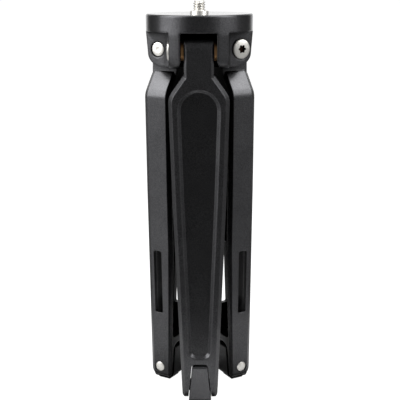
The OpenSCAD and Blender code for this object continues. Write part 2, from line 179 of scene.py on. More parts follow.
def finish_mesh(mesh, name):
    """Merges doubled points, turns the faces outwards and links the mesh as an object."""
    work = bmesh.new()
    work.from_mesh(mesh)
    bmesh.ops.remove_doubles(work, verts=work.verts, dist=1e-7)
    bmesh.ops.dissolve_degenerate(work, edges=work.edges, dist=1e-8)
    bmesh.ops.recalc_face_normals(work, faces=work.faces)
    work.to_mesh(mesh)
    work.free()
    mesh.shade_smooth()
    mesh.set_sharp_from_angle(angle=math.radians(TURNED_CREASE))
    return linked(name, mesh)


def round_turn(steps):
    """Angles of the columns of a turned surface, evenly spaced round one turn."""
    return np.arange(steps) * TURN / steps


def turned(name, rows, place, steps=96):
    """Surface turned about a pin's axis, from rows of a place along the axis and a radius.

    At angle a the point is place @ (radius cos a, radius sin a, along). A radius is one number, or an array
    with one for each angle, which gives threads and key sockets. The first and the last row lie on the axis
    or meet, and so close the piece.
    """
    angle = round_turn(steps)
    along = np.stack([np.full(steps, row[0]) for row in rows])
    radius = np.stack([np.broadcast_to(row[1], steps) for row in rows])
    points = np.stack([radius * np.cos(angle), radius * np.sin(angle), along], axis=-1)
    return skin(name, placed(points, place))


def rim(end, radius, profile, way=1):
    """Rows of a head's rim, from pairs in millimetres: how far before its end and inside its radius.

    The head faces up the pin's axis where way is 1, and down it where way is -1.
    """
    return [(end - way * before * MM, radius - inside * MM) for before, inside in profile]


def dressed_copy(node, name, crease, edge=0.0, cutter=None):
    """Merged copy of a CAD node, carved by a cutter if one is given.

    Edges that turn by more than crease degrees stay sharp. They are broken by a bevel of width edge, if
    that isn't 0.
    """
    work = bmesh.new()
    work.from_mesh(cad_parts[node].data)
    bmesh.ops.remove_doubles(work, verts=work.verts, dist=1e-6)
    # Triangles that lie flat beside each other become one face
    bmesh.ops.dissolve_limit(
        work, angle_limit=math.radians(0.4), verts=work.verts, edges=work.edges,
        use_dissolve_boundaries=False,
    )
    mesh = bpy.data.meshes.new(name)
    work.to_mesh(mesh)
    work.free()
    mesh.materials.clear()
    obj = linked(name, mesh)
    if cutter:
        carve(obj, cutter)
    obj.data.shade_smooth()
    obj.data.set_sharp_from_angle(angle=math.radians(crease))
    if edge > 0:
        bevel = obj.modifiers.new("broken edges", "BEVEL")
        bevel.width = edge
        bevel.segments = 2
        bevel.limit_method = "ANGLE"
        bevel.angle_limit = math.radians(crease)
        bevel.use_clamp_overlap = False
    weigh = obj.modifiers.new("flats keep their normals", "WEIGHTED_NORMAL")
    weigh.mode = "FACE_AREA"
    weigh.weight = 100
    weigh.keep_sharp = True
    return obj


def carve(obj, cutter):
    """Takes the cutter's volume away from a piece's mesh and deletes the cutter."""
    cut = obj.modifiers.new("cut", "BOOLEAN")
    cut.operation = "DIFFERENCE"
    cut.solver = "EXACT"
    cut.object = cutter
    faces = len(obj.data.polygons)
    carved = bpy.data.meshes.new_from_object(obj.evaluated_get(bpy.context.evaluated_depsgraph_get()))
    obj.modifiers.remove(cut)
    bpy.data.objects.remove(cutter)
    if len(carved.polygons) <= faces:
        raise RuntimeError("The recess of " + obj.name + " wasn't cut")
    obj.data = carved


def recess_cutter(side):
    """Cutter for the recess in a leg's outer face: loops that shrink from its outline to its floor.

    A loop has a flat bottom with round corners, straight sides that follow the leg's taper and a half
    round top. At share t of the slope it lies border + t * gain from the leg's sides, at a depth that
    rises from 0 to the floor's and is eased at both ends.
    """
    corner = np.radians(np.linspace(-90, 0, num=12))
    arc = np.radians(np.linspace(0, 180, num=41))
    loops = []
    for share, depth in RECESS_SLOPE:
        measures = (RECESS_BORDER, RECESS_LOW, RECESS_BEND)
        border, low, bend = (start + gain * share for start, gain in measures)
        bottom_half = np.interp(low + bend, LEG_HEIGHTS, LEG_HALF_WIDTHS) - border
        top_half = np.interp(RECESS_TOP, LEG_HEIGHTS, LEG_HALF_WIDTHS) - border
        # The lower right corner and the place where the leg's side bends, then the top, then their mirror
        right_x = np.append(bottom_half + bend * (np.cos(corner) - 1), LEG_HALF_WIDTHS[1] - border)
        right_h = np.append(low + bend * (1 + np.sin(corner)), LEG_HEIGHTS[1])
        x = np.concatenate([right_x, top_half * np.cos(arc), -right_x[::-1]])
        height = np.concatenate([right_h, RECESS_TOP + top_half * np.sin(arc), right_h[::-1]])
        loops.append(np.stack([np.full_like(x, FACE_REACH / MM - depth), height, x], axis=-1))
    ends = [np.ones_like(loop) * loop.mean(axis=0) for loop in (loops[0], loops[-1])]
    points = np.stack([ends[0], *loops, ends[1]]) * MM
    points[..., 1] -= middle("pivot_screw_front", 2)
    return skin("recess_" + side, placed(points, leg_frame(side)))


def mark_recess(leg, side):
    """Attribute that is 1 on the floor of a leg's recess: faces at its depth, inside its outline."""
    mesh = leg.data
    centres = np.empty(len(mesh.polygons) * 3)
    mesh.polygons.foreach_get("center", centres)
    local = placed(centres.reshape(-1, 3), leg_frame(side).inverted())
    height = (local[:, 1] + middle("pivot_screw_front", 2)) / MM
    edge = np.interp(height, LEG_HEIGHTS, LEG_HALF_WIDTHS) - RECESS_BORDER[0]
    depth = (FACE_REACH - local[:, 0]) / MM
    tolerance = 0.02
    inside = (np.abs(depth - RECESS_DEPTH) < tolerance) & (np.abs(local[:, 2]) / MM < edge)
    inside &= (height > RECESS_LOW[0]) & (height < RECESS_TOP + LEG_HALF_WIDTHS[2] - RECESS_BORDER[0])
    mesh.attributes.new("recess", "FLOAT", "FACE").data.foreach_set("value", inside.astype(np.float32))


# Colours and materials

# Size of the faint clouds in the dye and how much they count, and height of the blasted relief
CLOUD = 14 * MM
CLOUD_SHARE = 0.25
BLASTED_RELIEF = 0.02 * MM

# How far round a point the ambient occlusion looks for the hollows that get painted shade
PAINTED_SHADE_REACH = 45 * MM

# How bright the recess's floor is beside the rest of a leg
RECESS_SHADE = 0.62

# Distance between the drawn tool marks on turned metal, and their height
TOOL_MARKS = 0.25 * MM
TURNED_RELIEF = 0.01 * MM

# How much of a pivot screw's profile, from its middle outwards, lies in its recess
SCREW_RECESS_RUN = 3.3 * MM

# Size and height of the pebble on the rubber
PEBBLE = 0.6 * MM
PEBBLE_RELIEF = 0.03 * MM


def linear(code):
    """sRGB hex colour as linear values, with an alpha of 1."""
    code = code.lstrip("#")
    parts = [int(code[i : i + 2], 16) / 255 for i in (0, 2, 4)]
    return [c / 12.92 if c <= 0.04045 else ((c + 0.055) / 1.055) ** 2.4 for c in parts] + [1.0]


def add(tree, kind, inputs=None, **settings):
    """Adds a node and sets its properties and sockets by name. Inputs read an output or hold a value."""
    item = tree.nodes.new(kind)
    for key, value in settings.items():
        if hasattr(item, key):
            setattr(item, key, value)
        else:
            item.inputs[key.replace("_", " ")].default_value = value
    for socket, source in (inputs or {}).items():
        if isinstance(source, bpy.types.NodeSocket):
            tree.links.new(source, item.inputs[socket])
        else:
            item.inputs[socket].default_value = source
    return item


def blank(name):
    """Empty node material, its tree and its output node."""
    material = bpy.data.materials.new(name)
    material.use_nodes = True
    tree = material.node_tree
    tree.nodes.clear()
    return material, tree, tree.nodes.new("ShaderNodeOutputMaterial")


def blasted(name, shades, roughness, grit, edge, turned_from=None):
    """Metal blasted with fine beads and dyed: a speckle of two near shades, a soft sheen and fine relief.

    The dyed layer is sealed, so a thin clear coat lies over it, which turns flat views bright. Its edges
    are broken with a radius of edge, which draws the thin light lines along them. Hollows get painted
    shade: where ambient occlusion finds little open space round a point, its colour and its coat are
    darkened. The floor of the legs' recess is drawn darker too. The real grit is near 0.1 mm, too fine for
    the picture, so it is drawn as coarse as grit says. Above the height turned_from the metal was turned
    first, so its fine rings spread the highlight upwards and downwards.
    """
    material, tree, out = blank(name)
    place = add(tree, "ShaderNodeTexCoord").outputs["Object"]
    speck = add(tree, "ShaderNodeTexNoise", {"Vector": place}, Scale=1 / grit, Detail=3.0,
                Roughness=0.6).outputs["Fac"]
    cloud = add(tree, "ShaderNodeTexNoise", {"Vector": place}, Scale=1 / CLOUD, Detail=2.0).outputs["Fac"]
    both = add(tree, "ShaderNodeMath", {0: cloud, 1: CLOUD_SHARE, 2: speck}, operation="MULTIPLY_ADD")
    blend = add(tree, "ShaderNodeMapRange", {"Value": both.outputs[0]}, From_Min=0.4, From_Max=0.85)
    shade = add(tree, "ShaderNodeMix", {"Factor": blend.outputs[0], 6: shades[0], 7: shades[1]},
                data_type="RGBA")
    # Painted shade: a point that sees little of what surrounds it lies in a hollow and is drawn darker
    around = add(tree, "ShaderNodeAmbientOcclusion", Distance=PAINTED_SHADE_REACH, samples=8).outputs["AO"]
    painted_shade = add(tree, "ShaderNodeMapRange", {"Value": around}, From_Min=0.4, From_Max=0.64, To_Min=0.03,
                 To_Max=1.0).outputs[0]
    # The floor of the legs' recess is drawn darker than the rest of a leg
    recess = add(tree, "ShaderNodeAttribute", attribute_name="recess").outputs["Fac"]
    recess_darkening = add(tree, "ShaderNodeMapRange", {"Value": recess}, To_Min=1.0, To_Max=RECESS_SHADE).outputs[0]
    # The colour is darkened by the painted shade of the hollows and by the recess's darker floor
    dark = add(tree, "ShaderNodeMath", {0: painted_shade, 1: recess_darkening}, operation="MULTIPLY").outputs[0]
    deep = add(tree, "ShaderNodeMix", {0: 1.0, 6: shade.outputs[2], 7: dark}, data_type="RGBA",
               blend_type="MULTIPLY").outputs[2]
    gloss = add(tree, "ShaderNodeMapRange", {"Value": speck}, From_Min=0.3, From_Max=0.7,
                To_Min=roughness - 0.05, To_Max=roughness + 0.05).outputs[0]
    broken = add(tree, "ShaderNodeBevel", Radius=edge, samples=6).outputs[0]
    bump = add(tree, "ShaderNodeBump", {"Height": speck, "Normal": broken}, Strength=0.5,
               Distance=BLASTED_RELIEF).outputs[0]
    # Seen flat along the surface, the sealed layer turns into a mirror
    flat = add(tree, "ShaderNodeLayerWeight", Blend=0.5).outputs["Facing"]
    grazing = dict(From_Min=0.8, From_Max=0.97)
    weight = add(tree, "ShaderNodeMapRange", {"Value": flat}, To_Min=0.3, To_Max=1.0, **grazing).outputs[0]
    blur = add(tree, "ShaderNodeMapRange", {"Value": flat}, To_Min=0.16, To_Max=0.03, **grazing).outputs[0]
    # The coat is weakened in the same painted shade of the hollows
    sealed = add(tree, "ShaderNodeMath", {0: weight, 1: painted_shade}, operation="MULTIPLY").outputs[0]
    shader = add(
        tree, "ShaderNodeBsdfPrincipled",
        {"Base Color": deep, "Roughness": gloss, "Normal": bump, "Coat Weight": sealed,
         "Coat Roughness": blur, "Coat Normal": broken},
        Metallic=1.0,
    )
    if turned_from is not None:
        height = add(tree, "ShaderNodeSeparateXYZ", {0: place}).outputs[2]
        rings = add(tree, "ShaderNodeMapRange", {"Value": height}, From_Min=turned_from - MM,
                    From_Max=turned_from + MM, To_Min=0.0, To_Max=0.8)
        round_axis = add(tree, "ShaderNodeTangent", direction_type="RADIAL", axis="Z")
        tree.links.new(rings.outputs[0], shader.inputs["Anisotropic"])
        tree.links.new(round_axis.outputs[0], shader.inputs["Tangent"])
        shader.inputs["Anisotropic Rotation"].default_value = 0.25
    tree.links.new(shader.outputs[0], out.inputs[0])
    return material


def turned_metal(name, shades, roughness, recess=0.0, stain=None):
    """Metal turned on a lathe: fine rings of two near shades that follow the profile's length.

    Real tool marks lie near 0.05 mm apart, too fine for the picture, so they are drawn coarser. The first
    stretch of the profile, as long as recess, is a socket with a dark stain of oil and oxide.
    """
    material, tree, out = blank(name)
    uv = add(tree, "ShaderNodeUVMap", uv_map="profile").outputs[0]
    run = add(tree, "ShaderNodeSeparateXYZ", {0: uv}).outputs[1]
    rings = add(tree, "ShaderNodeTexNoise", {"W": run}, noise_dimensions="1D", Scale=MM / TOOL_MARKS,
                Detail=2.0).outputs["Fac"]
    colour = add(tree, "ShaderNodeMix", {"Factor": rings, 6: shades[0], 7: shades[1]},
                 data_type="RGBA").outputs[2]
    gloss = add(tree, "ShaderNodeMapRange", {"Value": rings}, From_Min=0.3, From_Max=0.7,
                To_Min=roughness - 0.04, To_Max=roughness + 0.06).outputs[0]
    bump = add(tree, "ShaderNodeBump", {"Height": rings}, Strength=0.35, Distance=TURNED_RELIEF).outputs[0]
    if recess:
        inside = add(tree, "ShaderNodeMath", {0: run, 1: recess / MM}, operation="LESS_THAN").outputs[0]
        colour = add(tree, "ShaderNodeMix", {"Factor": inside, 6: colour, 7: stain},
                     data_type="RGBA").outputs[2]
    shader = add(tree, "ShaderNodeBsdfPrincipled",
                 {"Base Color": colour, "Roughness": gloss, "Normal": bump}, Metallic=1.0)
    tree.links.new(shader.outputs[0], out.inputs[0])
    return material


def moulded_rubber(name, shades):
    """Black rubber from a blasted mould: matt, a little cloudy, with a faint pebble."""
    material, tree, out = blank(name)
    place = add(tree, "ShaderNodeTexCoord").outputs["Object"]
    pebble = add(tree, "ShaderNodeTexNoise", {"Vector": place}, Scale=1 / PEBBLE,
                 Detail=2.0).outputs["Fac"]
    shade = add(tree, "ShaderNodeMix", {"Factor": pebble, 6: shades[0], 7: shades[1]}, data_type="RGBA")
    bump = add(tree, "ShaderNodeBump", {"Height": pebble}, Strength=0.4, Distance=PEBBLE_RELIEF)
    shader = add(tree, "ShaderNodeBsdfPrincipled",
                 {"Base Color": shade.outputs[2], "Normal": bump.outputs[0]}, Roughness=0.75)
    tree.links.new(shader.outputs[0], out.inputs[0])
    return material


FINISHES = {}


def make_finishes(sizes, looks):
    """A material for each of the record's slots, and two for pieces unlike the others of their slot."""
    dyed, foot = (looks.dye_dark, looks.dye_light), (looks.foot_dark, looks.foot_light)
    steel, oxide = (looks.steel_dark, looks.steel_light), (looks.oxide_dark, looks.oxide_light)
    FINISHES.update(
        # Black anodised aluminium, bead blasted first: a dark metal that spreads a soft, grainy highlight
        anodised_aluminium=blasted("black anodised aluminium", dyed, looks.dye_gloss, looks.grit,
                                   sizes.edge),
        # The same finish on the hub, whose disc was turned: its highlight runs up and down the rim
        anodised_hub=blasted("black anodised turned disc", dyed, looks.dye_gloss, looks.grit,
                             sizes.hub_edge, turned_from=span("hub", 2)[1] - DISC_HEIGHT),
        # The same finish on the cast feet, a shade lighter and smoother
        anodised_foot=blasted("black anodised foot", foot, looks.foot_gloss, looks.foot_grit,
                              sizes.edge),
        # Turned stainless steel: bright, with fine rings that draw the highlight out round the axis
        stainless_steel=turned_metal("turned stainless steel", steel, looks.steel_gloss),
        # The same steel on the pivot screws, whose six-lobed recess is dark with oil and oxide
        socket_steel=turned_metal("turned steel with a dark recess", steel, looks.steel_gloss,
                                  SCREW_RECESS_RUN, looks.stain),
        # Black oxide on steel: a dark satin metal with a bluish cast
        black_oxide_steel=blasted("black oxide steel", oxide, looks.oxide_gloss, looks.oxide_grit,
                                  sizes.edge / 2),
        # Turned bronze: copper-gold and satin
        bronze=turned_metal("turned bronze", (looks.bronze_dark, looks.bronze_light), looks.bronze_gloss),
        # Moulded rubber: matt black
        rubber_sole=moulded_rubber("moulded black rubber", (looks.rubber_dark, looks.rubber_light)),
    )


def settle(obj, body, slot, *nodes, finish=None):
    """Gives a piece its finish, makes it ride on a body and hides the CAD nodes it stands for."""
    obj.data.materials.clear()
    obj.data.materials.append(FINISHES[finish or slot])
    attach(obj, body)
    if nodes:
        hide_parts(*nodes)


# Sizes and colours that a user would change


def length(name, default, low, high, description):
    """Size setting in metres, with its range."""
    return bpy.props.FloatProperty(name=name, description=description, default=default, min=low, max=high,
                                   unit="LENGTH", precision=5)


def sheen(name, default, description):
    """Roughness setting."""
    return bpy.props.FloatProperty(name=name, description=description, default=default, min=0.1, max=0.8,
                                   subtype="FACTOR")


def dye(name, code, description):
    """Colour setting whose default is an sRGB hex code."""
    return bpy.props.FloatVectorProperty(name=name, description=description, default=linear(code), size=4,
                                         min=0, max=1, subtype="COLOR")


class TripodSizes(bpy.types.PropertyGroup):
    """Sizes of the finished details."""

    edge: length("Edge break", 0.7 * MM, 0, 1 * MM, "Radius of the rounding on milled edges")
    hub_edge: length("Hub edge break", 1.5 * MM, 0, 2 * MM,
                     "Radius of the softer rounding on the hub's edges")
    pitch: length("Thread pitch", INCH / 20, 0.5 * MM, 2 * MM,
                  "Distance between the turns of the camera stud's thread")
    thread_depth: length("Thread depth", 0.7 * MM, 0.2 * MM, 0.9 * MM, "Height of the camera stud's thread")
    star_lobe: length("Star radius", 2.2 * MM, 1.5 * MM, 2.6 * MM,
                      "Radius over the lobes of the pivot screws' recess")
    star_core: length("Star core radius", 1.58 * MM, 1 * MM, 2 * MM,
                      "Radius between the lobes of the pivot screws' recess")


class TripodLooks(bpy.types.PropertyGroup):
    """Colours and finish of the metal and the rubber. Each surface varies between two near shades."""

    dye_dark: dye("Anodised dark", "#363638", "Darker shade of the hub and the legs")
    dye_light: dye("Anodised light", "#5a5a5c", "Lighter shade of the hub and the legs")
    foot_dark: dye("Foot dark", "#3e3e40", "Darker shade of the feet")
    foot_light: dye("Foot light", "#666668", "Lighter shade of the feet")
    oxide_dark: dye("Oxide dark", "#2c2d30", "Darker shade of the foot washers and the lock screw")
    oxide_light: dye("Oxide light", "#3b3c40", "Lighter shade of the foot washers and the lock screw")
    steel_dark: dye("Steel dark", "#d8d6d1", "Darker shade of the stud, the pivots and the rivets")
    steel_light: dye("Steel light", "#efede8", "Lighter shade of the stud, the pivots and the rivets")
    stain: dye("Recess stain", "#2a1d17", "Oil and oxide in the pivot screws' recess")
    bronze_dark: dye("Bronze dark", "#e0a064", "Darker shade of the friction washers")
    bronze_light: dye("Bronze light", "#ffd6a2", "Lighter shade of the friction washers")
    rubber_dark: dye("Rubber dark", "#161617", "Darker shade of the soles")
    rubber_light: dye("Rubber light", "#212122", "Lighter shade of the soles")
    steel_gloss: sheen("Steel roughness", 0.4, "How far the turned steel spreads its highlight")
    bronze_gloss: sheen("Bronze roughness", 0.5, "How far the turned bronze spreads its highlight")
    dye_gloss: sheen("Anodised roughness", 0.38, "How far the blasted aluminium spreads its highlight")
    foot_gloss: sheen("Foot roughness", 0.34, "How far the feet spread their highlight")
    oxide_gloss: sheen("Oxide roughness", 0.3, "How far the black oxide spreads its highlight")
    grit: length("Grit", 0.45 * MM, 0.1 * MM, 2 * MM, "Size of the blasted grain as drawn")
    foot_grit: length("Foot grit", 0.5 * MM, 0.1 * MM, 2 * MM, "Size of the feet's grain as drawn")
    oxide_grit: length("Oxide grit", 0.4 * MM, 0.1 * MM, 2 * MM, "Size of the black oxide's grain as drawn")


class TripodStage(bpy.types.PropertyGroup):
    """The camera's lens and place."""

    lens: bpy.props.FloatProperty(
        name="Focal length", description="Lens of the camera on a 36 mm sensor, in millimetres",
        default=83.32, min=20, max=200, unit="CAMERA",
    )
    distance: bpy.props.FloatProperty(
        name="Distance", description="Distance from the hub's axis to the camera, along the floor",
        default=487.0 * MM, min=0.2, max=2, unit="LENGTH",
    )
    height: bpy.props.FloatProperty(
        name="Height", description="Height of the camera above the floor",
        default=223.78 * MM, min=0, max=2, unit="LENGTH",
    )
    tilt: bpy.props.FloatProperty(
        name="Tilt", description="How far the camera looks down",
        default=math.radians(13.51), min=0, max=1.5, subtype="ANGLE",
    )
    bearing: bpy.props.FloatProperty(
        name="Bearing", description="How far the camera stands round the tripod from the front leg",
        default=math.radians(0.849), min=-3.2, max=3.2, subtype="ANGLE",
    )
    roll: bpy.props.FloatProperty(
        name="Roll", description="How far the camera is turned about its own axis",
        default=math.radians(-0.198), min=-1, max=1, subtype="ANGLE",
    )


# The pieces


class BuildHub(bpy.types.Operator):
    """Hub: a copy of the CAD hub."""

    bl_idname = "tripod.hub"
    bl_label = "Hub"

    def execute(self, context):
        settle(dressed_copy("hub", "hub_finished", METAL_CREASE), "hub", "anodised_aluminium", "hub",
               finish="anodised_hub")
        return {"FINISHED"}


class BuildLegs(bpy.types.Operator):
    """Legs: copies of the three CAD legs with the recess's form cut to the real one's."""

    bl_idname = "tripod.legs"
    bl_label = "Legs"

    def execute(self, context):
        for side in LEG_ANGLES:
            cutter = recess_cutter(side)
            leg = dressed_copy("leg_" + side, "leg_finished_" + side, METAL_CREASE, cutter=cutter)
            mark_recess(leg, side)
            settle(leg, "leg_" + side, "anodised_aluminium", "leg_" + side)
        return {"FINISHED"}


class BuildFeet(bpy.types.Operator):
    """Feet: copies of the three CAD feet, and of their soles with broken edges."""

    bl_idname = "tripod.feet"
    bl_label = "Feet and soles"

    def execute(self, context):
        sole_edge = context.scene.tripod_sizes.edge / 3
        for side in LEG_ANGLES:
            foot = dressed_copy("foot_" + side, "foot_finished_" + side, METAL_CREASE)
            settle(foot, "foot_" + side, "anodised_foot", "foot_" + side)
            sole = dressed_copy("foot_pad_" + side, "sole_finished_" + side, RUBBER_CREASE, sole_edge)
            settle(sole, "foot_" + side, "rubber_sole", "foot_pad_" + side)
        return {"FINISHED"}


def hexagon(angle, flats):
    """Polar radius of a hexagon.

    It is half its width over the flats, divided by the cosine of the angle from the nearest flat's middle.
    """
    sector = TURN / 6
    return flats / 2 / np.cos((angle + sector / 2) % sector - sector / 2)


class BuildStud(bpy.types.Operator):
    """Camera stud: a threaded pin above a wide round base with a key socket below."""

    bl_idname = "tripod.stud"
    bl_label = "Camera stud"

    def execute(self, context):
        pitch = context.scene.tripod_sizes.pitch
        low, top = span("stud", 2)
        wide = span("stud", 0)[1]
        collar_rise, pin, steps = 1.3 * MM, INCH / 8, 96
        collar = span("hub", 2)[1] + collar_rise
        angle = round_turn(steps)
        # Thread: at height z and angle a the radius is the crest less the thread's depth times a triangle
        # wave of z / pitch - a / turn, whose crests and roots are cut flat. It fades out in the runout
        # below, and the chamfer cuts it off above.
        lead, runout, tip_chamfer, tip_ease = 0.15 * MM, 0.8 * MM, 0.75 * MM, 0.05 * MM
        crest_share, least_depth_share, rows_per_turn = 0.12, 0.25, 14
        z = np.arange(collar + lead, top, pitch / rows_per_turn)
        phase = (z[:, None] - collar) / pitch - angle / TURN
        wave = np.abs((phase % 1.0) * 2 - 1)
        tooth = np.clip((wave - crest_share) / (1 - 2 * crest_share), 0, 1)
        fade = np.clip((z - collar) / runout, least_depth_share, 1)[:, None]
        crest = np.minimum(pin, pin - tip_chamfer + (top - z))[:, None]
        thread = np.minimum(crest, pin - context.scene.tripod_sizes.thread_depth * tooth * fade)
        # Key socket, its round lip, the base's chamfered lower end and eased upper end
        socket, socket_depth, lip, lip_depth = hexagon(angle, flats=5 * MM), 4 * MM, 3.2 * MM, 0.2 * MM
        chamfer, ease, ease_middle, neck = 0.4 * MM, 0.25 * MM, 0.07 * MM, 0.2 * MM
        rows = [(low + socket_depth, share * socket) for share in (0.0, 0.5, 1.0)]
        rows += [
            (low + lip_depth, socket), (low, lip), (low, wide - chamfer), (low + chamfer, wide),
            (collar - ease, wide), (collar - ease_middle, wide - ease_middle), (collar, wide - ease),
            (collar, pin - neck),
        ]
        rows += list(zip(z, thread))
        last = thread[-1].min() - tip_ease
        rows += [(top, last), (top, last / 2), (top, 0.0)]
        stud = turned("stud_finished", rows, Matrix.Identity(4), steps)
        settle(stud, "hub", "stainless_steel", "stud")
        return {"FINISHED"}


class BuildHingePins(bpy.types.Operator):
    """Pivot screws with a six-lobed recess, and the round nuts they screw into."""

    bl_idname = "tripod.hinge_pins"
    bl_label = "Pivot screws and nuts"

    def execute(self, context):
        sizes = context.scene.tripod_sizes
        steps, lobes = 120, 6
        mean, swing = (sizes.star_lobe + sizes.star_core) / 2, (sizes.star_lobe - sizes.star_core) / 2
        star = mean + swing * np.cos(lobes * round_turn(steps))
        screw, nut = self.screw_rows(star), self.nut_rows()
        for side in LEG_ANGLES:
            place = pin_frame("pivot_screw", side)
            piece = turned("pivot_screw_finished_" + side, screw, place, steps)
            settle(piece, "hub", "stainless_steel", "pivot_screw_" + side, finish="socket_steel")
            piece = turned("pivot_nut_finished_" + side, nut, place, steps)
            settle(piece, "hub", "stainless_steel", "pivot_nut_" + side)
        return {"FINISHED"}

    def screw_rows(self, star):
        """Rows of a screw: they follow the star in the recess, and circles on the domed head and shank."""
        head, shank_end = span("pivot_screw_front", 0)
        radius = half_size("pivot_screw_front", 2)
        recess_depth, lip, head_height = 1.5 * MM, 0.1 * MM, 2.2 * MM
        rows = [(head + recess_depth, share * star) for share in (0.0, 0.6, 0.97)]
        rows += [(head + lip, star), (head, star + lip)]
        rows += rim(head, radius, ((0.2, 0.9), (0.33, 0.45), (0.5, 0.14), (0.75, 0.0)), way=-1)
        under = head + head_height
        return rows + [(under, radius), (under, SHANK), (shank_end, SHANK), (shank_end, 0.0)]

    def nut_rows(self):
        """Rows of a nut: a bored barrel, and a faintly domed head with a rounded rim and a small dimple."""
        start, end = span("pivot_nut_front", 0)
        radius = half_size("pivot_nut_front", 2)
        bore, bore_end = SHANK + BORE_GAP, 7.5 * MM
        chamfer, head_height, dimple, dimple_depth = 0.2 * MM, 2.4 * MM, 0.42 * MM, 0.2 * MM
        rows = [
            (bore_end, 0.0), (bore_end, bore), (start, bore), (start, BARREL - chamfer),
            (start + chamfer, BARREL), (end - head_height, BARREL), (end - head_height, radius),
        ]
        rows += rim(end, radius, ((0.5, 0.0), (0.27, 0.1), (0.12, 0.45), (0.03, 1.6)))
        return rows + [(end, dimple), (end - dimple_depth, 0.0)]


def washer_pair(name, place, thickness, outer_face, bore, radius):
    """Two washers mirrored about the leg's middle: each is a rectangle with eased rims, turned."""
    ease = 0.18 * MM
    inner_face = outer_face - thickness
    rows = [
        (inner_face, bore), (inner_face, radius - ease), (inner_face + ease, radius),
        (outer_face - ease, radius), (outer_face, radius - ease), (outer_face, bore), (inner_face, bore),
    ]
    return [turned(name + end, [(way * along, reach) for along, reach in rows], place, steps=72)
            for way, end in ((-1, "_a"), (1, "_b"))]


class BuildWashers(bpy.types.Operator):
    """Bronze friction washers beside the tongues, and thin washers beside the feet."""

    bl_idname = "tripod.washers"
    bl_label = "Washers"

    def execute(self, context):
        for pin, group, slot, thickness, bore in (
            ("pivot_screw", "friction_washers", "bronze", 1.65 * MM, BARREL + BORE_GAP),
            ("foot_rivet", "foot_washers", "black_oxide_steel", 0.92 * MM, SHANK + BORE_GAP),
        ):
            outer_face, radius = span(group + "_front", 0)[1], half_size(group + "_front", 2)
            for side in LEG_ANGLES:
                body = "hub" if pin == "pivot_screw" else "leg_" + side
                for washer in washer_pair(group + "_finished_" + side, pin_frame(pin, side), thickness,
                                          outer_face, bore, radius):
                    settle(washer, body, slot, group + "_" + side)
        return {"FINISHED"}


class BuildRivets(bpy.types.Operator):
    """Foot rivets: a shank with a faintly domed head at each end."""

    bl_idname = "tripod.rivets"
    bl_label = "Foot rivets"

    def execute(self, context):
        end = span("foot_rivet_front", 0)[1]
        head = rim(end, half_size("foot_rivet_front", 2),
                   ((0.8, 0.0), (0.66, 0.0), (0.48, 0.2), (0.3, 0.7), (0.14, 1.4), (0.03, 2.2)))
        half = [(head[0][0], SHANK), *head, (end, 0.0)]
        rows = [(-along, reach) for along, reach in reversed(half)] + [(0.0, SHANK)] + half
        for side in LEG_ANGLES:
            rivet = turned("foot_rivet_finished_" + side, rows, pin_frame("foot_rivet", side), steps=72)
            settle(rivet, "leg_" + side, "stainless_steel", "foot_rivet_" + side)
        return {"FINISHED"}


class BuildLockScrew(bpy.types.Operator):
    """Grub screw that locks the stud: the CAD piece itself, with its finish."""

    bl_idname = "tripod.lock_screw"
    bl_label = "Stud lock screw"

    def execute(self, context):
        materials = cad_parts["stud_lock_screw"].data.materials
        materials.clear()
        materials.append(FINISHES["black_oxide_steel"])
        return {"FINISHED"}


# The stage

# How bright the room looks from the tripod, by bearing in degrees from the camera. Behind the tripod it is
# white, the wall on the left is bright, the one on the right is half as bright, and the rest is dim.
ROOM = (
    (-180, 1.0), (-152, 1.0), (-138, 0.1), (-100, 0.3), (-80, 0.9), (-48, 0.75), (-30, 0.17),
    (30, 0.15), (48, 0.45), (80, 0.45), (100, 0.25), (138, 0.1), (152, 1.0), (180, 1.0),
)

# How bright all that surrounds the tripod is for the light that falls on it, where 1 is white
FILL = 0.1

# Lamps, all at one distance: name, bearing in degrees from the camera, rise in degrees above the floor,
# width, height, how bright its surface looks, where 1 is white, and the height that it aims at
LAMPS = (
    ("left box", -70, 35, 0.56, 0.85, 4.2, 0.13),
    ("right box", 71, 48, 0.5, 0.85, 3.7, 0.13),
    ("top box", 0, 88, 1.5, 0.35, 3.0, 0.2),
)
LAMP_DISTANCE = 0.75

# How far the paper reaches each way, the size of its fibres and their two near shades
PAPER_REACH = 12.0
PAPER_FIBRE = 4 * MM
PAPER_SHADES = ("#7a7a7a", "#808080")

# How bright metal sees the paper near the hub's axis, and the distances over which it fades to the room
PAPER_LEVEL = 0.76
PAPER_FADE = dict(From_Min=0.06, From_Max=0.16)


def soft_box(name, bearing, rise, width, height, level, aim):
    """Area lamp whose surface looks as bright as level: its power is pi times its area times that level."""
    data = bpy.data.lights.new(name, "AREA")
    data.shape = "RECTANGLE"
    data.size, data.size_y = width, height
    data.energy = math.pi * width * height * level
    lamp = linked(name, data)
    bearing, rise = math.radians(bearing), math.radians(rise)
    flat = math.cos(rise)
    toward = Vector((math.sin(bearing) * flat, -math.cos(bearing) * flat, math.sin(rise)))
    lamp.location = Vector((0, 0, aim)) + toward * LAMP_DISTANCE
    lamp.rotation_euler = toward.to_track_quat("Z", "Y").to_euler()


def ray_kinds(tree):
    """Three outputs that tell what kind a ray is.

    The first is 1 for camera, glossy and transmission rays and 0 for the light that falls on the object,
    the second is 1 for camera rays alone, and the third for glossy rays alone.
    """
    path = add(tree, "ShaderNodeLightPath").outputs
    camera, glossy = path["Is Camera Ray"], path["Is Glossy Ray"]
    total = add(tree, "ShaderNodeMath", {0: camera, 1: glossy}, operation="ADD").outputs[0]
    shown = add(tree, "ShaderNodeMath", {0: total, 1: path["Is Transmission Ray"]}, operation="ADD",
                use_clamp=True).outputs[0]
    return shown, camera, glossy


